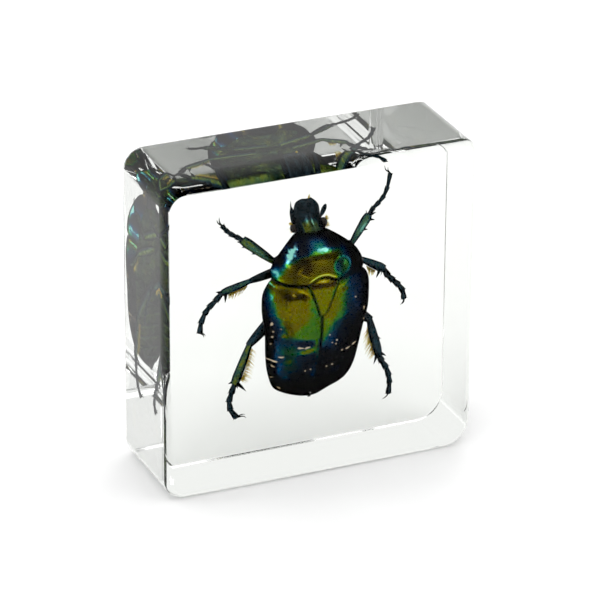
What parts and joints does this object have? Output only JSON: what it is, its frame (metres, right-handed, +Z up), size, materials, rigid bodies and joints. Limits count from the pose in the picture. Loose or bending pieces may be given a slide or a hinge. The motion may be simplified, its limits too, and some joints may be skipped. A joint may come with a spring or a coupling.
{
  "type": "insect in resin block",
  "caption": "Clear square resin block, thick enough to stand on its edge, with a metallic green flower chafer beetle sealed inside, its back to the front and its legs spread.",
  "frame": {"origin": "middle of the block's flat base", "axes": "+Z up along the beetle's body towards its head, +X to the right as the block is looked at from the front, and the front face and the beetle's back look along -Y"},
  "size_m": [0.04, 0.0144, 0.0404],
  "materials": {
    "resin": "clear cast resin, polished",
    "cuticle": "hard glossy beetle shell, metallic green-gold shading to blue and black"
  },
  "bodies": {
    "root": {"resin_front": "resin", "resin_back": "resin", "beetle": "cuticle"}
  },
  "joints": []
}
